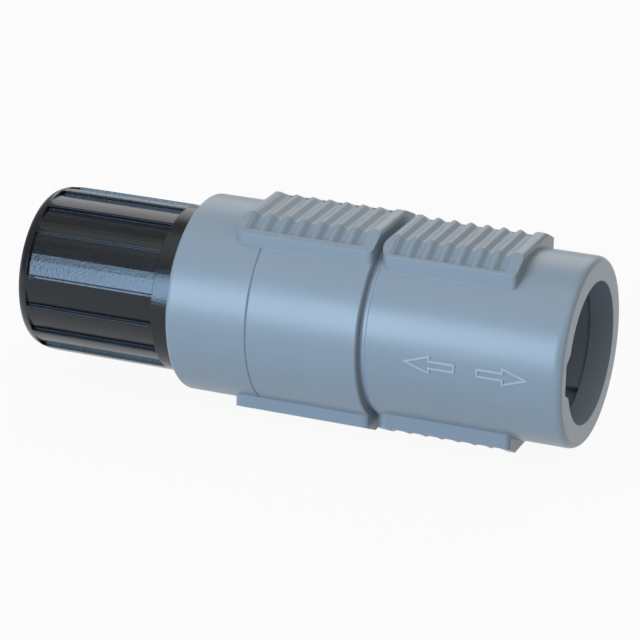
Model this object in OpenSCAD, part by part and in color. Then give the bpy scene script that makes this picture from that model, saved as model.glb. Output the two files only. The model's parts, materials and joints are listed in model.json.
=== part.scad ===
// Push pull circular connector with a release sleeve and a cable clamping nut.
// The axis runs along X, the mouth faces +X and the grips are above and below, at +Z and -Z.
// The origin is on the axis, in the plane of the mouth. Outlines are lists of [radius, x].

/* [Release sleeve] */
// How far the release sleeve's surface lies below the surface of the mid sleeve
sleeve_drop = 0.55; // [0.3:0.05:0.7]
// Length of the release sleeve, from the mouth back to the open gap
sleeve_len = 19.95; // [18:0.05:26]
// Open gap behind the release sleeve, which leaves room for its stroke
sleeve_gap = 0.65; // [0.5:0.05:1.2]
// Depth of that gap, down to the band on the inner shell
gap_depth = 0.35; // [0.35:0.05:0.5]
// Length of the rounded edge of the mouth
mouth_round_len = 0.8; // [0.2:0.05:1.5]
// Radial height of the rounded edge of the mouth
mouth_round_h = 0.55; // [0.2:0.05:0.8]
// Wall of the release sleeve round the bore that takes the mating connector
mouth_wall = 2.35; // [2.3:0.05:2.6]
// Depth of that bore
mouth_depth = 9; // [8:0.1:10]
// Radial relief of the bore behind its front land, which ends at the latch pockets
bore_relief = 0.2; // [0.2:0.05:0.4]
// Width of the keyway at the bore
key_mouth_w = 4; // [3:0.1:5]
// Width of the keyway at its floor
key_floor_w = 3.1; // [2:0.1:4]
// Depth of the keyway below the bore
key_depth = 0.75; // [0.4:0.05:1]
// Distance from the mouth to the latch pockets
pocket_front = 2.4; // [1.5:0.1:4]
// Depth of the latch pockets below the bore
pocket_depth = 0.8; // [0.7:0.05:1]
// Angle that each latch pocket spans
pocket_angle = 74; // [60:1:80]
// Length of the flange that the return spring pushes on
flange_len = 0.98; // [0.6:0.02:1.5]

/* [Arrows] */
// Length of a direction arrow
arrow_len = 4.95; // [3:0.05:5.5]
// Length of its head
arrow_head_len = 2.4; // [1:0.1:2.8]
// Width of its head
arrow_head_w = 1.64; // [1:0.02:3]
// Width of its shaft
arrow_shaft_w = 0.7; // [0.4:0.02:0.9]
// Width of the raised outline
arrow_line_w = 0.2; // [0.1:0.02:0.3]
// Height of the raised outline
arrow_line_h = 0.1; // [0.05:0.01:0.2]
// Distance from the mouth to the tip of the front arrow
arrow_front = 3.4; // [2:0.1:5]
// Distance from that tip to the tip of the rear arrow
arrow_span = 12.25; // [11.2:0.05:13]

/* [Grip pads] */
// Width of the mid sleeve's pads across the connector
mid_pad_w = 12.3; // [10:0.1:14]
// Height of the pads above the mid sleeve
mid_pad_h = 0.55; // [0.3:0.05:1.5]
// Drop from their crown to their side edges
mid_edge_drop = 1.35; // [0.6:0.05:1.6]
// Plain rim at the sides of the mid sleeve's pads
mid_rim = 0.6; // [0.2:0.05:1]
// How far the mid sleeve's pads reach over the rear shell
tongue_len = 3; // [2:0.1:5]
// Width of the release sleeve's pads across the connector
sleeve_pad_w = 11.75; // [9:0.05:13]
// Height of the pads above the release sleeve
sleeve_pad_h = 0.9; // [0.6:0.05:2]
// Drop from their crown to their side edges
sleeve_edge_drop = 1.4; // [0.6:0.05:1.6]
// Plain rim at the sides of the release sleeve's pads
sleeve_rim = 0.3; // [0.2:0.05:1]
// Length of the pads on the release sleeve
sleeve_pad_len = 13.95; // [12:0.05:15]
// Width of the pads' flat crown, between their sloping shoulders
crown_w = 6.5; // [5:0.1:9]
// Number of ridges on a pad
ridge_n = 8; // [5:1:12]
// Depth of the grooves between the ridges
ridge_depth = 0.5; // [0.3:0.05:0.55]
// Distance from the end of a pad to the first crest
ridge_end = 1; // [0.8:0.1:2]
// Radius of the pads' rear corners, seen from above
pad_heel_r = 1.3; // [0.6:0.1:2]
// Radius of the pads' front edges and corners
pad_corner_r = 0.5; // [0.2:0.05:0.8]
// Radial height of the slope at the back of a pad
pad_slope_h = 0.7; // [0.3:0.05:0.9]

/* [Housing] */
// Outside diameter of the mid sleeve and the rear shell
shell_d = 20; // [18:0.1:24]
// Length of the mid sleeve
mid_len = 11.6; // [10:0.1:16]
// Length of the rear shell
shell_len = 8.7; // [8.2:0.1:14]
// Radius of the rear shell's back edge
shell_edge_r = 0.45; // [0.2:0.05:1]
// How far the band in the open gap reaches into the release sleeve
band_lap = 0.3; // [0.2:0.05:0.4]
// Small bevel on the sleeves' meeting edges
edge_break = 0.12; // [0.05:0.01:0.3]
// Wall of the inner shell at the mouth
core_wall = 0.95; // [0.8:0.05:1.1]
// How far the inner shell stands out beyond the mating bore
core_step = 0.35; // [0.2:0.05:0.45]
// How far the inner shell's collar reaches into the release sleeve
collar_lap = 1.25; // [1:0.05:2]
// How far the inner shell's collar reaches into the rear shell
core_lap = 2; // [1.8:0.1:3]
// Thickness of the end wall that the cable seal rests on
core_end_wall = 1; // [0.6:0.1:1.5]
// Thickness of the seal ring between the shells
o_ring_w = 0.9; // [0.6:0.05:1.1]

/* [Latch and spring] */
// Thickness of the retaining ring along the axis
ring_w = 0.5; // [0.3:0.05:0.6]
// Radial height of the retaining ring outside the inner shell
ring_h = 0.65; // [0.4:0.05:0.7]
// Depth of the groove that holds the retaining ring
ring_groove = 0.45; // [0.2:0.05:0.6]
// Wire diameter of the return spring
wire_d = 0.8; // [0.4:0.05:0.85]
// Turns of the return spring
spring_turns = 5; // [3:0.5:5]
// Length of the latch ring inside the inner shell
latch_len = 4.3; // [3:0.1:5]
// How far the latch fingers reach forward of the inner shell
finger_reach = 3.5; // [2.5:0.1:4]
// Thickness of a latch finger
finger_t = 0.55; // [0.4:0.05:0.7]
// Angle that a latch finger spans
finger_angle = 56; // [30:1:58]
// Height of the hook on a latch finger
hook_h = 1.05; // [0.5:0.05:1.1]

/* [Inserts and contacts] */
// Length of the front insulator
front_insert_len = 7; // [5:0.1:8]
// Length of the rear insulator
rear_insert_len = 5; // [4:0.1:5.5]
// How far inside the insulators' edge the outer contacts stand
contact_inset = 2.6; // [2.2:0.05:3]
// Diameter of a contact pin
pin_d = 0.9; // [0.6:0.05:1.1]
// Length of the pin in front of the insulator
pin_len = 6.5; // [4:0.1:6.8]
// Diameter of the contact's collar and solder cup
cup_d = 1.5; // [1.3:0.05:1.8]
// Length of the solder cup behind the insulator
cup_len = 3.5; // [2.5:0.1:4.2]

/* [Cable clamp] */
// Largest cable that the clamp takes
cable_d = 7; // [5:0.1:7.6]
// Room round the cable where it leaves the nut
exit_gap = 0.4; // [0.2:0.05:0.8]
// Squeeze of the rubber seal on the cable's radius
seal_squeeze = 0.2; // [0:0.05:0.5]
// Length of the rubber seal
seal_len = 2.18; // [1.5:0.02:3]
// Thickness of the thrust washer
washer_t = 0.7; // [0.5:0.05:1]
// Wall of the clamping collet
collet_wall = 1.6; // [1:0.05:1.8]
// Length of the clamping collet
collet_len = 11; // [8:0.1:13]
// Width of the slits between the collet's fingers
collet_slit_w = 0.8; // [0.4:0.05:1.2]

/* [Nut] */
// How far the nut's surface lies below the surface of the rear shell
nut_drop = 1.5; // [0.5:0.05:1.6]
// Length of the nut behind the rear shell
nut_len = 17.3; // [15.5:0.1:22]
// Wall of the nut's threaded spigot
spigot_wall = 1.6; // [1.2:0.05:1.65]
// Plain collar in front of the flutes
nut_collar_len = 2.2; // [1:0.1:4]
// Plain heel behind the flutes
nut_heel_len = 1.1; // [0.5:0.1:2]
// Length of the nut's rounded back end
nut_round_len = 2.1; // [0.5:0.1:3]
// Radial height of the nut's rounded back end
nut_round_h = 0.74; // [0.45:0.02:1.2]
// Depth of the flutes
flute_depth = 0.42; // [0.2:0.02:0.5]
// Angle that the wide flute spans
flute_wide = 31; // [20:1:36]
// Angle between the stepped flutes
flute_pitch = 22.5; // [16:0.5:23]
// Angle of the wide flute above the side of the keyway
flute_turn = 29; // [0:1:60]

/* [Fits] */
// Running clearance on the radius between parts that slide or turn
run_gap = 0.05; // [0.02:0.01:0.09]
// Gap between faces that meet across a joint
seat_gap = 0.02; // [0.01:0.01:0.05]

/* [Hidden] */
$fn = 96;

// how far a cutting solid runs past the faces it cuts
past = 1;
// steps in a small rounded edge, and in one ridge of a grip
round_steps = 5;
ridge_steps = 8;
// how far the crests lie below a pad's rims
crest_trim = 0.03;
// depth to which a pad is rooted in the sleeve that carries it
pad_root = 0.3;

// radii, from the outside inwards and then from the mating bore outwards
shell_r = shell_d / 2;
// depth of the flats in the rear shell under the tongues, and a width that clears them
seat_depth = 0.4;
seat_w = 2 * sqrt(pow(shell_r, 2) - pow(shell_r - seat_depth, 2)) + 0.4;
sleeve_r = shell_r - sleeve_drop;
nut_r = shell_r - nut_drop;
mouth_r = sleeve_r - mouth_wall;
core_r = mouth_r + core_step;
core_bore_r = core_r - core_wall;
cavity_r = core_bore_r - 0.9;
ring_r = core_r + ring_h;
ring_room_r = ring_r + 0.1;
spring_r = core_r + 0.15 + wire_d / 2;
spring_room_r = spring_r + wire_d / 2 + 0.15;
collar_r = max(spring_room_r, ring_room_r) + 0.25;
band_r = sleeve_r - gap_depth;
contact_circle_r = core_bore_r - contact_inset;

// radii, from the cable outwards
cable_r = cable_d / 2;
seal_r = cable_r - seal_squeeze;
exit_r = cable_r + exit_gap;
collet_r = cable_r + collet_wall;
nut_bore_r = collet_r + run_gap;
spigot_r = nut_bore_r + spigot_wall;
thread_r = spigot_r + run_gap;
wire_way_r = cable_r + 1;

// stations along the axis, from the mouth backwards
stroke_room = sleeve_gap + 0.05;
x_bore_end = -mouth_depth;
x_core_front = x_bore_end - stroke_room;
x_ring_front = x_core_front - 0.8;
x_ring_rear = x_ring_front - ring_w;
x_flange_front = x_ring_rear - seat_gap;
x_flange_rear = x_flange_front - flange_len;
x_sleeve_rear = -sleeve_len;
x_collar = x_sleeve_rear + collar_lap;
x_band = x_sleeve_rear + band_lap;
x_mid_front = x_sleeve_rear - sleeve_gap;
x_mid_rear = x_mid_front - mid_len;
x_core_rear = x_mid_rear - core_lap;
x_shell_rear = x_mid_rear - shell_len;
x_nut_front = x_shell_rear - seat_gap;
x_nut_rear = x_shell_rear - nut_len;

// stations of the inserts and of the clamp
x_insert_front = x_core_front - latch_len;
x_insert_mid = x_insert_front - front_insert_len;
x_insert_rear = x_insert_mid - rear_insert_len;
x_seal_rear = x_core_rear - seal_len;
x_washer_front = x_seal_rear - seat_gap;
x_washer_rear = x_washer_front - washer_t;
x_spigot_front = x_washer_rear - seat_gap;
x_collet_rear = x_washer_rear - collet_len;
collet_nose = 1.5;
x_o_ring = x_core_rear + core_lap / 2;

// rings cut in the nut's spigot, which stand in for its thread
thread_pitch = 1;
thread_depth = 0.45;
thread_w = 0.7;
thread_turns = floor((x_spigot_front - x_nut_front - thread_pitch / 2) / thread_pitch);

// the outer contacts stand in a circle round the last one
outer_contacts = 7;
collar_pin_len = 1.5;

// ---- helpers ----

// turns a solid built along Z so that it lies along X, with its X across and its Y up
module along_x() {
    rotate([90, 0, 90]) children();
}

// solid of revolution about the connector's axis
module revolve(outline) {
    along_x() rotate_extrude() polygon(outline);
}

// part of a solid of revolution, centred on an angle counted from +Y towards +Z
module revolve_part(outline, centre, span) {
    along_x() rotate([0, 0, centre - span / 2]) rotate_extrude(angle = span) polygon(outline);
}

// cylinder along the axis from one station to another
module rod(r, x_rear, x_front) {
    translate([x_rear, 0, 0]) rotate([0, 90, 0]) cylinder(r = r, h = x_front - x_rear);
}

// points of a rounded edge with its own radial and axial size
function edge_arc(r, x, size_r, size_x, from, to) =
    [for (i = [0:round_steps])
        let (a = from + (to - from) * i / round_steps)
        [r + size_r * cos(a), x + size_x * sin(a)]];

// ---- release sleeve ----

module sleeve_body() {
    mouth_edge = edge_arc(sleeve_r - mouth_round_h, -mouth_round_len, mouth_round_h, mouth_round_len, 90, 0);
    revolve(concat([[mouth_r, 0]], mouth_edge, [
        [sleeve_r, x_sleeve_rear + edge_break],
        [sleeve_r - edge_break, x_sleeve_rear],
        [band_r + run_gap, x_sleeve_rear],
        [band_r + run_gap, x_band + stroke_room],
        [collar_r + run_gap, x_band + stroke_room],
        [collar_r + run_gap, x_collar + stroke_room],
        [spring_room_r, x_collar + stroke_room],
        [spring_room_r, x_flange_rear],
        [core_r + run_gap, x_flange_rear],
        [core_r + run_gap, x_flange_front],
        [ring_room_r, x_flange_front],
        [ring_room_r, x_bore_end],
        [mouth_r + bore_relief, x_bore_end],
        [mouth_r + bore_relief, -pocket_front],
        [mouth_r, -pocket_front]
    ]));
}

// one groove of the mating bore's keyway, open at the mouth
module keyway() {
    floor_r = mouth_r + key_depth;
    inner_r = mouth_r - past;
    slope = (key_mouth_w - key_floor_w) / 2 / key_depth;
    inner_w = key_mouth_w / 2 + slope * past;
    translate([x_bore_end - seat_gap, 0, 0])
        along_x() linear_extrude(mouth_depth + past)
            polygon([[-floor_r, key_floor_w / 2], [-floor_r, -key_floor_w / 2],
                     [-inner_r, -inner_w], [-inner_r, inner_w]]);
}

module latch_pocket(side) {
    revolve_part([
        [mouth_r - past, -pocket_front],
        [mouth_r + pocket_depth, -pocket_front],
        [mouth_r + pocket_depth, x_bore_end - seat_gap],
        [mouth_r - past, x_bore_end - seat_gap]
    ], side * 90, pocket_angle);
}

// one straight line of an arrow's outline
module stroke(from, to) {
    run = to - from;
    translate(from) rotate(atan2(run[1], run[0]))
        translate([-arrow_line_w / 2, -arrow_line_w / 2])
            square([norm(run) + arrow_line_w, arrow_line_w]);
}

// outline of an arrow that points along +X with its tip at zero
module arrow_outline() {
    tail = -arrow_len;
    neck = -arrow_head_len;
    head = arrow_head_w / 2;
    shaft = arrow_shaft_w / 2;
    points = [[0, 0], [neck, head], [neck, shaft], [tail, shaft],
              [tail, -shaft], [neck, -shaft], [neck, -head]];
    for (i = [0:len(points) - 1]) stroke(points[i], points[(i + 1) % len(points)]);
}

// raised arrows on the side of the keyway, one towards the mouth and one away from it
module arrows() {
    rear_tip = -arrow_front - arrow_span;
    intersection() {
        rotate([90, 0, 0]) linear_extrude(sleeve_r + past) {
            translate([-arrow_front, 0]) arrow_outline();
            translate([rear_tip, 0]) mirror([1, 0]) arrow_outline();
        }
        revolve([
            [sleeve_r - 0.2, -past],
            [sleeve_r + arrow_line_h, -past],
            [sleeve_r + arrow_line_h, x_sleeve_rear + past],
            [sleeve_r - 0.2, x_sleeve_rear + past]
        ]);
    }
}

// notches in the spring flange for the ribs that stop the sleeve turning
rib_w = 1.6;
rib_h = 0.3;
module rib(extra) {
    inner_r = core_r - core_wall / 2;
    for (side = [-1, 1])
        translate([x_flange_rear - extra, side > 0 ? inner_r : -core_r - rib_h - extra, -rib_w / 2 - extra])
            cube([flange_len - seat_gap + 2 * extra, core_r + rib_h + extra - inner_r, rib_w + 2 * extra]);
}

module front_sleeve() {
    color([0.53, 0.6, 0.66]) {
        difference() {
            union() {
                sleeve_body();
                for (side = [-1, 1])
                    grip_pad(side, x_sleeve_rear, x_sleeve_rear + sleeve_pad_len, sleeve_pad_w, sleeve_rim,
                             sleeve_r + sleeve_pad_h, sleeve_edge_drop, sleeve_r - pad_root, x_sleeve_rear, 0);
                arrows();
            }
            keyway();
            for (side = [-1, 1]) latch_pocket(side);
            rib(2 * run_gap);
        }
    }
}

// ---- grip pads ----

// outline of the pad seen from above, with rounded corners
module pad_plan(x_rear, x_front, w) {
    translate([x_rear, -w / 2 + pad_heel_r]) square([x_front - x_rear, w - 2 * pad_heel_r]);
    translate([x_rear + pad_heel_r, -w / 2]) square([x_front - pad_corner_r - x_rear - pad_heel_r, w]);
    translate([x_front - 2 * pad_corner_r, -w / 2 + pad_corner_r]) square([2 * pad_corner_r, w - 2 * pad_corner_r]);
    for (y = [-w / 2, w / 2]) {
        translate([x_rear + pad_heel_r, y - sign(y) * pad_heel_r]) circle(pad_heel_r);
        translate([x_front - pad_corner_r, y - sign(y) * pad_corner_r]) circle(pad_corner_r);
    }
}

// outline of a pad seen along the connector: a flat crown, sloping shoulders and upright sides
module pad_section(w, top_z, edge_drop) {
    half = [[w / 2, 0], [w / 2, top_z - edge_drop], [crown_w / 2, top_z]];
    polygon(concat(half, [for (i = [2:-1:0]) [-half[i][0], half[i][1]]]));
}

// outline of a pad seen from the side, with the slope at its back and its rounded front edge
module pad_profile(x_rear, x_front, top_z) {
    outline = concat([[0, x_rear]],
        edge_arc(top_z - pad_slope_h, x_rear + ridge_end, pad_slope_h, ridge_end, -90, 0),
        edge_arc(top_z - pad_corner_r, x_front - pad_corner_r, pad_corner_r, pad_corner_r, 0, 90),
        [[0, x_front]]);
    polygon([for (p = outline) [p[1], p[0]]]);
}

// the grooves between the ridges, cut along the crown and down both shoulders
module ridge_cuts(x_rear, x_front, w, rim, top_z, edge_drop) {
    pitch = (x_front - x_rear - 2 * ridge_end) / (ridge_n - 1);
    x_first = x_rear + ridge_end;
    x_last = x_front - ridge_end;
    wave = [for (i = [0:ridge_steps * (ridge_n - 1)])
        [x_first + pitch * i / ridge_steps, -crest_trim - ridge_depth * (1 - cos(360 * i / ridge_steps)) / 2]];
    groove = concat([[x_first, past]], wave, [[x_last, past]]);
    slope = atan2(edge_drop, (w - crown_w) / 2);
    reach = ((w - crown_w) / 2 - rim) / cos(slope);
    translate([0, 0, top_z]) rotate([90, 0, 0]) linear_extrude(crown_w, center = true) polygon(groove);
    for (half = [0, 1]) mirror([0, half, 0])
        translate([0, crown_w / 2, top_z]) rotate([-slope, 0, 0])
            translate([0, reach, 0]) rotate([90, 0, 0]) linear_extrude(reach) polygon(groove);
}

module grip_pad(side, x_rear, x_front, w, rim, top_z, edge_drop, base_r, x_step, step_r) {
    turn = side > 0 ? 0 : 180;
    rotate([turn, 0, 0]) difference() {
        intersection() {
            linear_extrude(top_z + past) pad_plan(x_rear, x_front, w);
            translate([x_rear - past, 0, 0]) along_x() linear_extrude(x_front - x_rear + 2 * past)
                pad_section(w, top_z, edge_drop);
            rotate([90, 0, 0]) linear_extrude(w + 2 * past, center = true) pad_profile(x_rear, x_front, top_z);
        }
        ridge_cuts(x_rear, x_front, w, rim, top_z, edge_drop);
        rod(base_r, x_rear - past, x_front + past);
        if (x_step > x_rear) difference() {
            rod(step_r, x_rear - past, x_step);
            tongue_seat(x_rear, x_step);
        }
    }
}

// flat in the rear shell that keeps the tongue whole under its first groove
module tongue_seat(x_rear, x_step) {
    x_seat = x_rear + ridge_end / 2;
    translate([x_seat, -seat_w / 2, shell_r - seat_depth]) cube([x_step - x_seat, seat_w, seat_depth + past]);
}

// ---- housing ----

module mid_sleeve() {
    color([0.53, 0.6, 0.66]) {
        revolve([
            [collar_r, x_mid_front],
            [shell_r - edge_break, x_mid_front],
            [shell_r, x_mid_front - edge_break],
            [shell_r, x_mid_rear + edge_break],
            [shell_r - edge_break, x_mid_rear],
            [collar_r, x_mid_rear]
        ]);
        for (side = [-1, 1])
            grip_pad(side, x_mid_rear - tongue_len, x_mid_front, mid_pad_w, mid_rim,
                     shell_r + mid_pad_h, mid_edge_drop, shell_r - pad_root, x_mid_rear, shell_r);
    }
}

module rear_shell() {
    color([0.53, 0.6, 0.66]) difference() {
        revolve(concat(
            [[thread_r, x_shell_rear]],
            edge_arc(shell_r - shell_edge_r, x_shell_rear + shell_edge_r,
                     shell_edge_r, shell_edge_r, -90, 0),
            [
                [shell_r, x_mid_rear - edge_break],
                [shell_r - edge_break, x_mid_rear],
                [collar_r, x_mid_rear],
                [collar_r, x_core_rear],
                [thread_r, x_core_rear]
            ]
        ));
        for (turn = [0, 180]) rotate([turn, 0, 0])
            tongue_seat(x_mid_rear - tongue_len, x_mid_rear + past);
    }
}

module inner_shell() {
    groove_r = core_r - ring_groove;
    o_ring_groove_r = collar_r - o_ring_w;
    color([0.72, 0.75, 0.78]) {
        revolve([
            [core_bore_r, x_core_front],
            [core_r, x_core_front],
            [core_r, x_ring_front],
            [groove_r, x_ring_front],
            [groove_r, x_ring_rear],
            [core_r, x_ring_rear],
            [core_r, x_collar],
            [collar_r, x_collar],
            [collar_r, x_band],
            [band_r, x_band],
            [band_r, x_mid_front],
            [collar_r, x_mid_front],
            [collar_r, x_o_ring + o_ring_w / 2],
            [o_ring_groove_r, x_o_ring + o_ring_w / 2],
            [o_ring_groove_r, x_o_ring - o_ring_w / 2],
            [collar_r, x_o_ring - o_ring_w / 2],
            [collar_r, x_core_rear],
            [wire_way_r, x_core_rear],
            [wire_way_r, x_core_rear + core_end_wall],
            [cavity_r, x_core_rear + core_end_wall],
            [cavity_r, x_insert_rear],
            [core_bore_r, x_insert_rear]
        ]);
        rib(0);
    }
}

module shell_o_ring() {
    color([0.1, 0.1, 0.1])
        along_x() translate([0, 0, x_o_ring]) rotate_extrude()
            translate([collar_r - o_ring_w / 2, 0]) circle(o_ring_w / 2);
}

// ---- latch and spring ----

// split ring that keeps the sleeve on the inner shell
module retaining_ring() {
    opening = 24;
    color([0.7, 0.71, 0.72])
        revolve_part([
            [core_r - ring_groove, x_ring_rear],
            [ring_r, x_ring_rear],
            [ring_r, x_ring_front],
            [core_r - ring_groove, x_ring_front]
        ], 0, 360 - opening);
}

// ring with two sprung fingers, each cut free of the ring along its sides
module latch_ring() {
    slit = 6;
    hook_len = 1.4;
    inner_r = core_bore_r - finger_t;
    x_root = x_core_front - latch_len / 2;
    x_tip = x_core_front + finger_reach;
    clear_r = core_bore_r + hook_h + past;
    color([0.62, 0.64, 0.66])
        difference() {
            revolve([
                [inner_r, x_insert_front],
                [core_bore_r, x_insert_front],
                [core_bore_r, x_tip - hook_len],
                [core_bore_r + hook_h, x_tip - hook_len],
                [core_bore_r + hook_h, x_tip - hook_h / 2],
                [core_bore_r + hook_h / 2, x_tip],
                [inner_r, x_tip]
            ]);
            for (side = [-1, 1]) {
                revolve_part([[inner_r - past, x_core_front], [clear_r, x_core_front],
                              [clear_r, x_tip + past], [inner_r - past, x_tip + past]],
                             90 + side * 90, 180 - finger_angle);
                for (edge = [-1, 1])
                    revolve_part([[inner_r - past, x_root], [clear_r, x_root],
                                  [clear_r, x_core_front + past / 2], [inner_r - past, x_core_front + past / 2]],
                                 side * 90 + edge * (finger_angle + slit) / 2, slit);
            }
        }
}

// place along the spring after a number of turns, with the first and last turns closed
function spring_x(turn, room) =
    let (open = (room - 3 * wire_d) / (spring_turns - 2))
    turn < 1 ? turn * wire_d
    : turn < spring_turns - 1 ? wire_d + (turn - 1) * open
    : wire_d + (spring_turns - 2) * open + (turn - spring_turns + 1) * wire_d;

module return_spring() {
    sides = 8;
    per_turn = 24;
    rings = ceil(spring_turns * per_turn);
    room = x_flange_rear - x_collar;
    x_start = x_collar + wire_d / 2;
    points = [for (i = [0:rings], j = [0:sides - 1])
        let (turn = spring_turns * i / rings,
             a = 360 * turn,
             b = 360 * j / sides,
             r = spring_r + wire_d / 2 * cos(b))
        [x_start + spring_x(turn, room) + wire_d / 2 * sin(b), r * cos(a), r * sin(a)]];
    walls = [for (i = [0:rings - 1], j = [0:sides - 1])
        let (k = (j + 1) % sides)
        [i * sides + j, i * sides + k, (i + 1) * sides + k, (i + 1) * sides + j]];
    first = [for (j = [sides - 1:-1:0]) j];
    last = [for (j = [0:sides - 1]) rings * sides + j];
    color([0.6, 0.6, 0.62]) polyhedron(points, concat([first], walls, [last]));
}

// ---- inserts and contacts ----

// place of a contact across the connector; the last one is at the centre
function contact_place(i) =
    i > outer_contacts ? [0, 0]
    : let (a = 180 + 360 * (i - 1) / outer_contacts) [cos(a), sin(a)] * contact_circle_r;

// moves its children to contact i
module at_contact(i) {
    place = contact_place(i);
    translate([0, place[0], place[1]]) children();
}

module insulator_front() {
    color([0.86, 0.85, 0.8])
        difference() {
            rod(core_bore_r, x_insert_mid, x_insert_front);
            for (i = [1:outer_contacts + 1])
                at_contact(i) rod(pin_d / 2, x_insert_mid - past, x_insert_front + past);
        }
}

module insulator_rear() {
    color([0.86, 0.85, 0.8])
        difference() {
            rod(core_bore_r, x_insert_rear, x_insert_mid);
            for (i = [1:outer_contacts + 1]) at_contact(i) {
                rod(pin_d / 2, x_insert_rear - past, x_insert_mid + past);
                rod(cup_d / 2, x_insert_mid - collar_pin_len, x_insert_mid + past);
                rod(cup_d / 2, x_insert_rear - past, x_insert_rear + collar_pin_len);
            }
        }
}

// turned pin with a collar between the insulators and a solder cup behind them
module contact(i) {
    pin_r = pin_d / 2;
    cup_r = cup_d / 2;
    cup_bore_r = cup_r - 0.2;
    x_tip = x_insert_front + pin_len;
    x_cup_end = x_insert_rear - cup_len;
    color([0.85, 0.7, 0.35])
        at_contact(i) difference() {
            revolve([
                [0, x_cup_end],
                [cup_r, x_cup_end],
                [cup_r, x_insert_rear + collar_pin_len],
                [pin_r, x_insert_rear + collar_pin_len],
                [pin_r, x_insert_mid - collar_pin_len],
                [cup_r, x_insert_mid - collar_pin_len],
                [cup_r, x_insert_mid],
                [pin_r, x_insert_mid],
                [pin_r, x_tip - pin_r],
                [pin_r * 0.8, x_tip - pin_r * 0.4],
                [pin_r * 0.4, x_tip],
                [0, x_tip]
            ]);
            rod(cup_bore_r, x_cup_end - past, x_cup_end + cup_len * 0.8);
            translate([x_cup_end - past, -cup_d, 0]) cube([past + cup_len / 2, 2 * cup_d, cup_d]);
        }
}

// ---- cable clamp and nut ----

module cable_seal() {
    color([0.12, 0.12, 0.12])
        revolve([
            [seal_r, x_seal_rear],
            [thread_r, x_seal_rear],
            [thread_r, x_core_rear],
            [seal_r, x_core_rear]
        ]);
}

module thrust_washer() {
    color([0.75, 0.76, 0.78])
        revolve([
            [cable_r + 0.1, x_washer_rear],
            [spigot_r, x_washer_rear],
            [spigot_r, x_washer_front],
            [cable_r + 0.1, x_washer_front]
        ]);
}

// radial drop of the collet's nose and of the cone in the nut that closes it
nose_drop = collet_wall * 0.6;

// slit sleeve whose fingers close on the cable in the nut's cone
module clamp_collet() {
    x_slit = x_washer_rear - collet_len * 0.25;
    slits = 3;
    color([0.7, 0.72, 0.74])
        difference() {
            revolve([
                [cable_r, x_collet_rear],
                [collet_r - nose_drop, x_collet_rear],
                [collet_r, x_collet_rear + collet_nose],
                [collet_r, x_washer_rear],
                [cable_r, x_washer_rear]
            ]);
            for (i = [0:slits - 1])
                rotate([180 * i / slits, 0, 0])
                    translate([x_collet_rear - past, -collet_slit_w / 2, -collet_r - past])
                        cube([x_slit - x_collet_rear + past, collet_slit_w, 2 * collet_r + 2 * past]);
        }
}

function polar(r, a) = [r * cos(a), r * sin(a)];

// cross section of a flute whose floor goes from one depth to another over its angle
module flute_section(from, to, depth_from, depth_to) {
    steps = 6;
    floor_points = [for (i = [0:steps])
        polar(nut_r - depth_from - (depth_to - depth_from) * i / steps, from + (to - from) * i / steps)];
    polygon(concat([polar(nut_r + past, from)], floor_points, [polar(nut_r + past, to)]));
}

// flutes of one half: a wide one and, beside it, sawtooth ones that step on their far side
module half_flutes() {
    land = 1.5;
    flute_section(-flute_wide / 2, flute_wide / 2, flute_depth, flute_depth);
    for (side = [-1, 1])
        for (a = [flute_wide / 2 + land:flute_pitch:91 - flute_pitch])
            flute_section(side * a, side * (a + flute_pitch - land), 0, flute_depth);
}

module back_nut() {
    cone_end = x_collet_rear - 2 * run_gap;
    cone_start = cone_end + collet_nose;
    flare = 1;
    color([0.08, 0.09, 0.1])
        difference() {
            revolve(concat(
                [
                    [nut_bore_r, x_spigot_front],
                    [nut_bore_r, cone_start],
                    [max(nut_bore_r - nose_drop, exit_r), cone_end],
                    [exit_r, cone_end],
                    [exit_r, x_nut_rear + flare],
                    [exit_r + flare, x_nut_rear]
                ],
                edge_arc(nut_r - nut_round_h, x_nut_rear + nut_round_len,
                         nut_round_h, nut_round_len, -90, 0),
                [
                    [nut_r, x_nut_front - edge_break],
                    [nut_r - edge_break, x_nut_front],
                    [spigot_r, x_nut_front]
                ],
                [for (i = [1:thread_turns], step = [-1, 0, 1])
                    [spigot_r - (step == 0 ? thread_depth : 0),
                     x_nut_front + i * thread_pitch + step * thread_w / 2]],
                [
                    [spigot_r, x_spigot_front - thread_depth / 2],
                    [spigot_r - thread_depth / 2, x_spigot_front]
                ]
            ));
            for (half = [0, 180])
                translate([x_nut_rear + nut_heel_len, 0, 0])
                    along_x() rotate([0, 0, 180 - flute_turn + half])
                        linear_extrude(nut_len - nut_collar_len - nut_heel_len) half_flutes();
        }
}

front_sleeve();
mid_sleeve();
rear_shell();
inner_shell();
shell_o_ring();
retaining_ring();
latch_ring();
return_spring();
insulator_front();
insulator_rear();
for (i = [1:outer_contacts + 1])
    contact(i);
cable_seal();
thrust_washer();
clamp_collet();
back_nut();
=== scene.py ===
# %% [markdown]
# # A push pull circular connector in Blender
# The connector is about as long as a finger: a grey blue plastic body with ridged pads,
# a release sleeve at the front with an open, keyed mouth, and a black nut that clamps
# the cable at the back. Its solids were drawn in a CAD program and come in here as they
# are. This lesson gives them a camera, soft light and finishes. Their shapes stay as
# they are, so every finish is made from nodes alone.

# %% Load the solids and keep their box
import json
import math

import bpy
from mathutils import Matrix, Vector


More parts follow.
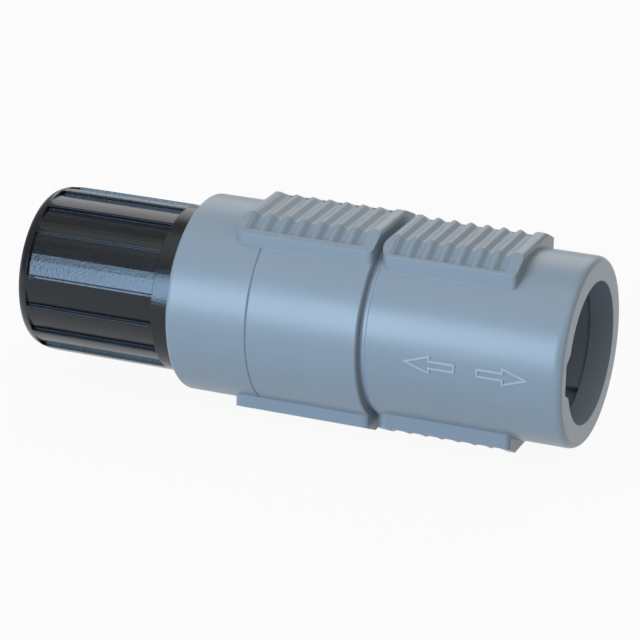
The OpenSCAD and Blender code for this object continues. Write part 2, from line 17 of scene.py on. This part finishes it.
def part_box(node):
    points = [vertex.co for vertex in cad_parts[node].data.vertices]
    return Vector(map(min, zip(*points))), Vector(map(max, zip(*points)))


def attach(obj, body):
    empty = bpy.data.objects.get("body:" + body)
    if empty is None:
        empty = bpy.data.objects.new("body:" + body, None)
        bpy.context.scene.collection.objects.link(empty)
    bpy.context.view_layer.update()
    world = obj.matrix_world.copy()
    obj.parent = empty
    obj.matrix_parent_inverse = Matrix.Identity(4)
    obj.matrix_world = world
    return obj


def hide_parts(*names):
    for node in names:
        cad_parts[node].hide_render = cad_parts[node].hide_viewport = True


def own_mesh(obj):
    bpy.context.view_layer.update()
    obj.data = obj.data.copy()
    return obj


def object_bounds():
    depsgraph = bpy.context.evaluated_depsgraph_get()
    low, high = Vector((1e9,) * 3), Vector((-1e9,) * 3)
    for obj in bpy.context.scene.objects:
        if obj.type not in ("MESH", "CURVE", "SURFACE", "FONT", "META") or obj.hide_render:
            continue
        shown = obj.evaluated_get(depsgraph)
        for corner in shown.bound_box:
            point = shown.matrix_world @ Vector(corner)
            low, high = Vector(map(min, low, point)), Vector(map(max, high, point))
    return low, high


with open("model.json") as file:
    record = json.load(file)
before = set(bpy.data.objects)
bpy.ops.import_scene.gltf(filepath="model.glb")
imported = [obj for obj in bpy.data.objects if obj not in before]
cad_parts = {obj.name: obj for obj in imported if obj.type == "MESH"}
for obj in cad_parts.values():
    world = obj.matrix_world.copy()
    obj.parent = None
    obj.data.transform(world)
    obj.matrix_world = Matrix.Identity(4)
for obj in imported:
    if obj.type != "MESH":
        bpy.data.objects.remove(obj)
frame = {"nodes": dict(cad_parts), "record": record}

MM = 0.001
cad_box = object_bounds()
connector_low, connector_high = (Vector(corner) for corner in cad_box)
print("solids:", len(frame["nodes"]), "size in mm:",
      [round(side / MM, 2) for side in connector_high - connector_low])

# %% [markdown]
# ## The camera
# A long lens from a little above suits a small part: it keeps the cylinder's sides almost
# parallel, so that the pads and the flutes can be compared along the whole body. The
# camera could be dragged into place. It is written as a place, two angles and a small
# roll instead, because numbers can be read and changed.

# %% Put the camera at its place
CAMERA_AZIMUTH = math.radians(22.2202)
CAMERA_ELEVATION = math.radians(21.0885)
CAMERA_ROLL = math.radians(0.9462)
CAMERA_PLACE = Vector((76.7258, -257.2586, 105.9992)) * MM
LENS_MM, SENSOR_MM = 167.2714, 36.0
NEAREST_SEEN, FARTHEST_SEEN = 0.01, 20.0


def from_angles(azimuth, elevation):
    """Direction at an azimuth, from -Y towards +X, and an elevation above the floor."""
    return Vector((math.cos(elevation) * math.sin(azimuth),
                   -math.cos(elevation) * math.cos(azimuth),
                   math.sin(elevation)))


def facing(back, roll=0.0):
    """Rotation of a camera or lamp that looks along -back, turned about its own view."""
    level = back.cross(Vector((0, 0, 1))).normalized() * -1
    upright = back.cross(level)
    right = level * math.cos(roll) + upright * math.sin(roll)
    return Matrix((right, back.cross(right), back)).transposed()


def place_camera():
    lens = bpy.data.cameras.new("connector_camera")
    lens.lens, lens.sensor_width = LENS_MM, SENSOR_MM
    lens.clip_start, lens.clip_end = NEAREST_SEEN, FARTHEST_SEEN
    camera = bpy.data.objects.new("connector_camera", lens)
    turn = facing(from_angles(CAMERA_AZIMUTH, CAMERA_ELEVATION), CAMERA_ROLL)
    camera.matrix_world = Matrix.Translation(CAMERA_PLACE) @ turn.to_4x4()
    bpy.context.scene.collection.objects.link(camera)
    bpy.context.scene.camera = camera
    return camera


camera = place_camera()
print("camera in mm:", [round(c / MM, 1) for c in camera.matrix_world.translation])

# %% [markdown]
# ## Writing nodes as sums
# A finish is a tree of nodes, and trees made line by line are hard to read. The class
# Wire wraps one output of a node, so that two of them can be added or multiplied like
# numbers, and each sum becomes its Math node. The reflected forms let a number stand
# first, as in 1 - mask. Every other node comes from Finish.node, which sets the node's
# settings before its sockets, because settings can change which sockets there are.

# %% Wires and finishes
class Wire:
    """One output of a shader node, to be used like a number."""

    def __init__(self, finish, socket):
        self.finish, self.socket = finish, socket

    def _math(self, operation, *values):
        return self.finish.node("ShaderNodeMath", {"operation": operation},
                                dict(enumerate(values)))

    def __add__(self, other):
        return self._math("ADD", self, other)

    def __sub__(self, other):
        return self._math("SUBTRACT", self, other)

    def __rsub__(self, other):
        return self._math("SUBTRACT", other, self)

    def __mul__(self, other):
        return self._math("MULTIPLY", self, other)

    __radd__, __rmul__ = __add__, __mul__

    def limited(self):
        """The same value, kept between 0 and 1."""
        return self.finish.node("ShaderNodeClamp", {}, {"Value": self})


class Finish:
    """A material or world, with the one method that makes its nodes."""

    def __init__(self, name, data=None):
        self.data = data or bpy.data.materials.new(name)
        self.data.use_nodes = True
        self.tree = self.data.node_tree
        self.tree.nodes.clear()

    def node(self, kind, settings=None, sockets=None, output=0):
        """Make a node and return one of its outputs, or nothing if it has none."""
        made = self.tree.nodes.new(kind)
        for name, value in (settings or {}).items():
            setattr(made, name, value)
        for name, value in (sockets or {}).items():
            if isinstance(value, Wire):
                self.tree.links.new(value.socket, made.inputs[name])
            else:
                made.inputs[name].default_value = value
        return Wire(self, made.outputs[output]) if made.outputs else None


print("node helpers:", Wire.__name__, Finish.__name__)

# %% [markdown]
# ## Colours and textures in millimetres
# Paint colours are easier to pick in the 0 to 255 numbers of a screen, while Blender
# wants light that adds up, so one function turns them round. The texture helpers take
# the size of a grain or blotch in millimetres. They all read the object's own
# coordinates, so the marks stay on a piece when the sleeve slides or the nut turns.

# %% Colour and texture helpers
# The Mix node has sockets for each kind of value. These numbers are the ones for colours.
MIX_SHARE, MIX_FIRST, MIX_SECOND, MIX_RESULT = 0, 6, 7, 2


def screen_colour(*levels):
    """Light values of a colour given in screen levels from 0 to 255."""
    def light(level):
        share = level / 255
        return share / 12.92 if share <= 0.04045 else ((share + 0.055) / 1.055) ** 2.4
    return (*(light(level) for level in levels), 1.0)


def on_piece(finish):
    return finish.node("ShaderNodeTexCoord", output="Object")


def stretched(finish, along):
    """The piece's coordinates, drawn out along the connector by a factor."""
    return finish.node("ShaderNodeVectorMath", {"operation": "MULTIPLY"},
                       {0: on_piece(finish), 1: (1 / along, 1, 1)})


def grain(finish, size_mm, place=None, detail=2.0):
    """Noise from 0 to 1 whose blotches are about size_mm across."""
    return finish.node("ShaderNodeTexNoise", {}, {
        "Vector": place or on_piece(finish), "Scale": 1 / (size_mm * MM), "Detail": detail})


def about(noise, amount, middle=1.0):
    """A value that wanders round the middle by the amount. The noise's own is a half."""
    return (noise - 0.5) * (2 * amount) + middle


def mixed(finish, share, first, second):
    """One colour laid over another by a share."""
    return finish.node("ShaderNodeMix", {"data_type": "RGBA"},
                       {MIX_SHARE: share, MIX_FIRST: first, MIX_SECOND: second}, MIX_RESULT)


def shaded(finish, colour, factor):
    """A colour made darker or lighter by a factor."""
    return finish.node("ShaderNodeVectorMath", {"operation": "SCALE"},
                       {0: colour[:3], "Scale": factor})


print("pale grey as light:", [round(c, 3) for c in screen_colour(200, 200, 200)[:3]])

# %% [markdown]
# ## Soft edges
# A moulded part has no sharp edges: each one is rounded by a few hundredths of a millimetre
# and catches a thin line of light. The meshes could be bevelled, but these solids are not to
# be changed, so the Bevel node bends the shading at each edge. Its difference from the plain
# normal also marks the edges that fingers have polished, and on the grey blue plastic it
# makes them paler, partly as wear and partly as a painted highlight.

# %% Edge helpers
BEVEL_SAMPLES = 6


def rounded_normal(finish, radius_mm):
    return finish.node("ShaderNodeBevel", {"samples": BEVEL_SAMPLES},
                       {"Radius": radius_mm * MM})


def edge_share(finish, normal, strength):
    """Nearly 1 on an edge and 0 on open surface."""
    plain = finish.node("ShaderNodeNewGeometry", output="Normal")
    same = finish.node("ShaderNodeVectorMath", {"operation": "DOT_PRODUCT"},
                       {0: normal, 1: plain}, output="Value")
    return ((1 - same) * strength).limited()


def bumped(finish, height, depth_mm, normal):
    """The normal, tilted by a height from 0 to 1 that stands for depth_mm."""
    return finish.node("ShaderNodeBump", {}, {
        "Strength": 1.0, "Distance": depth_mm * MM, "Height": height, "Normal": normal})


def surface(finish, **sockets):
    """The finish's main shader. Underscores in a socket's name stand for spaces."""
    shader = finish.node("ShaderNodeBsdfPrincipled", {},
                         {name.replace("_", " "): value for name, value in sockets.items()})
    finish.node("ShaderNodeOutputMaterial", {}, {"Surface": shader})
    return finish.data


print("samples of each rounded edge:", BEVEL_SAMPLES)

# %% [markdown]
# ## The grey blue body
# The release sleeve, the mid sleeve and the rear shell are moulded from one matt grey blue
# plastic. Up close it has a very fine grain from the mould, faint streaks where it flowed
# along the part, and edges that are a little smoother from handling. The edges are also
# painted paler: partly handling wear, partly a painted highlight for the thin line of light
# they catch.
# An image could carry all this, but noise keeps one grain size over every piece and needs
# no unwrapping. One function serves the core, the inserts and the washers too.
#
# The sleeve's two arrows are raised lines, painted paler as a painted highlight for the light
# their raised edges catch. They could be picked out by hand.
# The sleeve's own copy of the finish finds them by their distance from the axis instead,
# because that still holds if the arrows are moved.

# %% Moulded plastic
SLEEVE_RADIUS_MM, ARROW_HALF_HEIGHT_MM = 9.45, 4.0
LINE_FOOT_MM, LINE_STEEPNESS = 0.015, 40.0
MOULD_EDGE_MM, MOULD_EDGE_STRENGTH = 0.07, 6.0
EDGE_WEAR_AND_HIGHLIGHT, EDGE_POLISH = 0.34, 0.06
MOULD_GRAIN_MM, MOULD_DEPTH_MM = 0.14, 0.0035
CLOUD_MM = 7.0
FLOW_MM, FLOW_STRETCH, FLOW_DETAIL = 0.9, 9.0, 3.0
GRAIN_TONE, CLOUD_TONE, FLOW_TONE = 0.06, 0.035, 0.021
GRAIN_ROUGH, CLOUD_ROUGH = 0.05, 0.025
FLOW_HEIGHT = 0.25
ARROW_PAINTED_HIGHLIGHT = 0.45
BODY_COLOUR = screen_colour(138, 151, 161)


def raised_lines(finish):
    """1 on the arrows' raised outlines and 0 elsewhere."""
    across = finish.node("ShaderNodeVectorMath", {"operation": "MULTIPLY"},
                         {0: on_piece(finish), 1: (0, 1 / MM, 1 / MM)})
    radius = finish.node("ShaderNodeVectorMath", {"operation": "LENGTH"},
                         {0: across}, output="Value")
    height = finish.node("ShaderNodeSeparateXYZ", {}, {"Vector": across}, output="Z")
    above = ((radius - (SLEEVE_RADIUS_MM + LINE_FOOT_MM)) * LINE_STEEPNESS).limited()
    beside = (ARROW_HALF_HEIGHT_MM ** 2 - height * height).limited()
    return above * beside


def moulded_plastic(name, colour, roughness, arrows=False):
    finish = Finish(name)
    normal = rounded_normal(finish, MOULD_EDGE_MM)
    edges = edge_share(finish, normal, MOULD_EDGE_STRENGTH)
    fine = grain(finish, MOULD_GRAIN_MM)
    cloud = grain(finish, CLOUD_MM)
    flow = grain(finish, FLOW_MM, stretched(finish, FLOW_STRETCH), FLOW_DETAIL)
    tone = about(cloud, CLOUD_TONE) * about(flow, FLOW_TONE) * about(fine, GRAIN_TONE)
    # Paler edges: partly handling wear, partly a painted highlight for the light an edge
    # catches.
    tone = tone * (edges * EDGE_WEAR_AND_HIGHLIGHT + 1.0)
    if arrows:
        # Painted highlight: the arrows' raised lines are made paler, standing in for the
        # light they catch.
        tone = tone * (raised_lines(finish) * ARROW_PAINTED_HIGHLIGHT + 1.0)
    return surface(
        finish,
        Base_Color=shaded(finish, colour, tone),
        Roughness=(about(fine, GRAIN_ROUGH, roughness) + about(cloud, CLOUD_ROUGH, 0.0)
                   - edges * EDGE_POLISH),
        Normal=bumped(finish, fine + flow * FLOW_HEIGHT, MOULD_DEPTH_MM, normal))


finishes = {
    "sleeve_plastic": moulded_plastic("sleeve_plastic", BODY_COLOUR, 0.33, arrows=True),
    "shell_plastic": moulded_plastic("shell_plastic", BODY_COLOUR, 0.34),
    "core_plastic": moulded_plastic("core_plastic", screen_colour(156, 172, 186), 0.34),
    "insert_plastic": moulded_plastic("insert_plastic", screen_colour(62, 64, 68), 0.45),
    "washer_plastic": moulded_plastic("washer_plastic", screen_colour(196, 198, 202), 0.38),
}
print("plastics:", sorted(finishes))

# %% [markdown]
# ## The black nut
# The nut is a harder, shinier black plastic. Its flutes throw back the window as clear
# bright bars, and the slight waviness of a moulded skin makes those bars uneven. Small
# rubs show on the edges that fingers turn it by. The waviness could be cut into the mesh,
# but it is too shallow to see as a shape, so a bump a few millimetres across gives it.
# The rubs come from fine noise, kept to the edges.

# %% Glossy black plastic
NUT_COLOUR, RUB_COLOUR = screen_colour(14, 15, 18), screen_colour(74, 76, 80)
NUT_EDGE_MM, NUT_EDGE_STRENGTH = 0.10, 4.0
SKIN_MM, SKIN_STRETCH = 2.2, 2.5
NUT_GRAIN_MM, NUT_GRAIN_DETAIL = 0.22, 3.0
RUB_STRENGTH, RUB_SHARE, RUB_ROUGH = 1.6, 0.5, 0.12
NUT_ROUGH, NUT_ROUGH_WANDER = 0.18, 0.04
SKIN_HEIGHT, NUT_GRAIN_HEIGHT, SKIN_DEPTH_MM = 0.6, 0.8, 0.02
COOL_SHINE = (0.84, 0.94, 1.0, 1.0)


def glossy_plastic(name, colour):
    finish = Finish(name)
    normal = rounded_normal(finish, NUT_EDGE_MM)
    edges = edge_share(finish, normal, NUT_EDGE_STRENGTH)
    skin = grain(finish, SKIN_MM, stretched(finish, SKIN_STRETCH))
    fine = grain(finish, NUT_GRAIN_MM, detail=NUT_GRAIN_DETAIL)
    rubs = (edges * (fine * RUB_STRENGTH)).limited()
    return surface(
        finish,
        Base_Color=mixed(finish, rubs * RUB_SHARE, colour, RUB_COLOUR),
        Roughness=(about(skin, NUT_ROUGH_WANDER, NUT_ROUGH)
                   + about(fine, NUT_ROUGH_WANDER, 0.0) + rubs * RUB_ROUGH),
        Specular_Tint=COOL_SHINE,
        Normal=bumped(finish, skin * SKIN_HEIGHT + fine * NUT_GRAIN_HEIGHT,
                      SKIN_DEPTH_MM, normal))


finishes["nut_plastic"] = glossy_plastic("nut_plastic", NUT_COLOUR)
print("nut finish:", finishes["nut_plastic"].name)

# %% [markdown]
# ## Rubber and metal
# The seals are soft black rubber, dull and faintly dusty. The contacts are turned and
# gold plated, and the latch, the ring and the spring are spring steel. Turning and
# drawing leave fine rings or lines round the axis. Stretched noise could give them, but
# noise in one dimension is simpler: it changes only along the connector, so every mark
# runs right round.

# %% Rubber, gold and steel
RUBBER_COLOUR, DUST_COLOUR = screen_colour(26, 26, 27), screen_colour(80, 80, 82)
RUBBER_EDGE_MM, RUBBER_GRAIN_MM, RUBBER_DEPTH_MM = 0.08, 0.12, 0.006
DUST_MM, DUST_DETAIL, DUST_SHARE = 2.5, 4.0, 0.18
RUBBER_ROUGH, RUBBER_ROUGH_WANDER = 0.68, 0.06
METAL_EDGE_MM, METAL_DEPTH_MM = 0.05, 0.003
RING_DETAIL, RING_ROUGH = 2.0, 0.07
FILM_MM, FILM_DETAIL, FILM_SHARE, FILM_ROUGH = 1.6, 3.0, 0.5, 0.04


def soft_rubber(name):
    finish = Finish(name)
    normal = rounded_normal(finish, RUBBER_EDGE_MM)
    fine = grain(finish, RUBBER_GRAIN_MM)
    dust = grain(finish, DUST_MM, detail=DUST_DETAIL)
    return surface(
        finish,
        Base_Color=mixed(finish, dust * DUST_SHARE, RUBBER_COLOUR, DUST_COLOUR),
        Roughness=about(fine, RUBBER_ROUGH_WANDER, RUBBER_ROUGH),
        Normal=bumped(finish, fine, RUBBER_DEPTH_MM, normal))


def turned_metal(name, colour, tarnish, roughness, ring_mm):
    finish = Finish(name)
    normal = rounded_normal(finish, METAL_EDGE_MM)
    along = finish.node("ShaderNodeSeparateXYZ", {}, {"Vector": on_piece(finish)}, output="X")
    rings = finish.node("ShaderNodeTexNoise", {"noise_dimensions": "1D"},
                        {"W": along, "Scale": 1 / (ring_mm * MM), "Detail": RING_DETAIL})
    film = grain(finish, FILM_MM, detail=FILM_DETAIL)
    return surface(
        finish,
        Base_Color=mixed(finish, film * FILM_SHARE, colour, tarnish),
        Metallic=1.0,
        Roughness=about(rings, RING_ROUGH, roughness) + about(film, FILM_ROUGH, 0.0),
        Normal=bumped(finish, rings, METAL_DEPTH_MM, normal))


finishes["rubber"] = soft_rubber("rubber")
finishes["contact_metal"] = turned_metal(
    "contact_metal", colour=screen_colour(231, 190, 104),
    tarnish=screen_colour(205, 158, 80), roughness=0.27, ring_mm=0.09)
finishes["steel"] = turned_metal(
    "steel", colour=screen_colour(190, 192, 195),
    tarnish=screen_colour(165, 167, 171), roughness=0.35, ring_mm=0.06)
print("all finishes:", sorted(finishes))

# %% [markdown]
# ## Dress the solids
# The record that came with the solids says which finish each one takes. Only the
# material slots change here. Handing the finishes out from the record, instead of by
# name, means that no solid is forgotten.

# %% Give each solid its finish
def dress(solid, material):
    if not solid.data.materials:
        solid.data.materials.append(material)
    for place in range(len(solid.material_slots)):
        solid.material_slots[place].material = material


for part in frame["record"]["subparts"]:
    dress(frame["nodes"][part["node"]], finishes[part["material_slot"]])

# %% [markdown]
# ## A spring that squeezes
# When the release sleeve slides back, it squeezes the return spring inside it. A solid can
# only move as a whole, so its front end would run through the sleeve. A copy takes its place
# here, with the same shape at rest. How much of its length it would keep is worked out from
# the sleeve's travel.

# %% Put a copy of the return spring in its place
def squeezed_spring():
    solid = frame["nodes"]["return_spring"]
    rear_end, front_end = (Vector(corner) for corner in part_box("return_spring"))
    slide = next(joint for joint in frame["record"]["behaviour"]["joints"]
                 if joint["name"] == "sleeve_slide")
    kept = 1 - slide["range_m"][1] / (front_end.x - rear_end.x)
    spring = bpy.data.objects.new("squeezed_spring", solid.data.copy())
    bpy.context.scene.collection.objects.link(spring)
    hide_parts("return_spring")
    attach(spring, "housing")
    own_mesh(spring)
    return kept


print("share of its length that the spring keeps:", round(squeezed_spring(), 3))

# %% [markdown]
# ## Floor
# The connector lies on its lower pads on a plain white sheet. A white floor lit like the
# connector would come out light grey, and more light would wash out the plastic. So the
# floor mixes in some white of its own, which only the camera and clear reflections see,
# and keeps enough of its plain diffuse side to hold the connector's shadow.

# %% Make the white floor
FLOOR_SIZE = 6.0
FLOOR_GLOW = 0.93
PAPER_COLOUR = (0.64, 0.64, 0.64, 1.0)
WHITE = (1.0, 1.0, 1.0, 1.0)


def white_sheet():
    finish = Finish("white_sheet")
    seen = [finish.node("ShaderNodeLightPath", output=ray)
            for ray in ("Is Camera Ray", "Is Glossy Ray", "Is Transmission Ray")]
    share = (seen[0] + seen[1] + seen[2]).limited() * FLOOR_GLOW
    paper = finish.node("ShaderNodeBsdfDiffuse", {}, {"Color": PAPER_COLOUR})
    glow = finish.node("ShaderNodeEmission", {}, {"Color": WHITE, "Strength": 1.0})
    both = finish.node("ShaderNodeMixShader", {}, {0: share, 1: paper, 2: glow})
    finish.node("ShaderNodeOutputMaterial", {}, {"Surface": both})
    return finish.data


def lay_floor(height):
    half = FLOOR_SIZE / 2
    sheet = bpy.data.meshes.new("floor")
    sheet.from_pydata([(-half, -half, height), (half, -half, height),
                       (half, half, height), (-half, half, height)], [], [(0, 1, 2, 3)])
    sheet.materials.append(white_sheet())
    floor = bpy.data.objects.new("floor", sheet)
    bpy.context.scene.collection.objects.link(floor)
    return floor


floor = lay_floor(connector_low.z)
print("floor:", floor.name, "at mm:", round(connector_low.z / MM, 2))

# %% [markdown]
# ## Light
# The body shows one broad, slightly blue band of light with a crisp lower edge: the look
# of a window beside the camera. A sun lamp would light the body as well, but it has no
# width for the plastic to mirror, so an area lamp of a window's shape gives that band.
# One overhead, a weaker one behind and a plain grey world fill the rest, and together
# they light a colour about as it is written.

# %% Window, ceiling and room
ROOM_LEVEL = 0.40


def soft_lamp(name, azimuth, elevation, distance, width, height, level, colour):
    """An area lamp whose surface shines at a level, where 1 is white."""
    back = from_angles(math.radians(azimuth), math.radians(elevation))
    lamp = bpy.data.lights.new(name, "AREA")
    lamp.shape, lamp.size, lamp.size_y = "RECTANGLE", width, height
    lamp.energy = level * math.pi * width * height
    lamp.color = colour
    middle = (connector_low + connector_high) / 2
    made = bpy.data.objects.new(name, lamp)
    made.matrix_world = Matrix.Translation(middle + back * distance) @ facing(back).to_4x4()
    bpy.context.scene.collection.objects.link(made)
    return made


window = soft_lamp("window", azimuth=-21, elevation=14.5, distance=0.70,
                   width=0.24, height=0.38, level=12.0, colour=(0.54, 0.75, 1.0))
back_fill = soft_lamp("back_fill", azimuth=195, elevation=32, distance=0.90,
                      width=0.9, height=0.6, level=1.3, colour=(1.0, 1.0, 1.0))
ceiling = soft_lamp("ceiling", azimuth=10, elevation=74, distance=0.90,
                    width=1.1, height=0.9, level=0.78, colour=(1.0, 0.96, 0.89))

world = bpy.data.worlds.new("room")
bpy.context.scene.world = world
room = Finish("room", world)
plain_room = room.node("ShaderNodeBackground", {}, {"Color": WHITE, "Strength": ROOM_LEVEL})
room.node("ShaderNodeOutputWorld", {}, {"Surface": plain_room})
bpy.context.scene.view_settings.view_transform = "Standard"
print("lamps:", window.name, back_fill.name, ceiling.name, "room level:", ROOM_LEVEL)
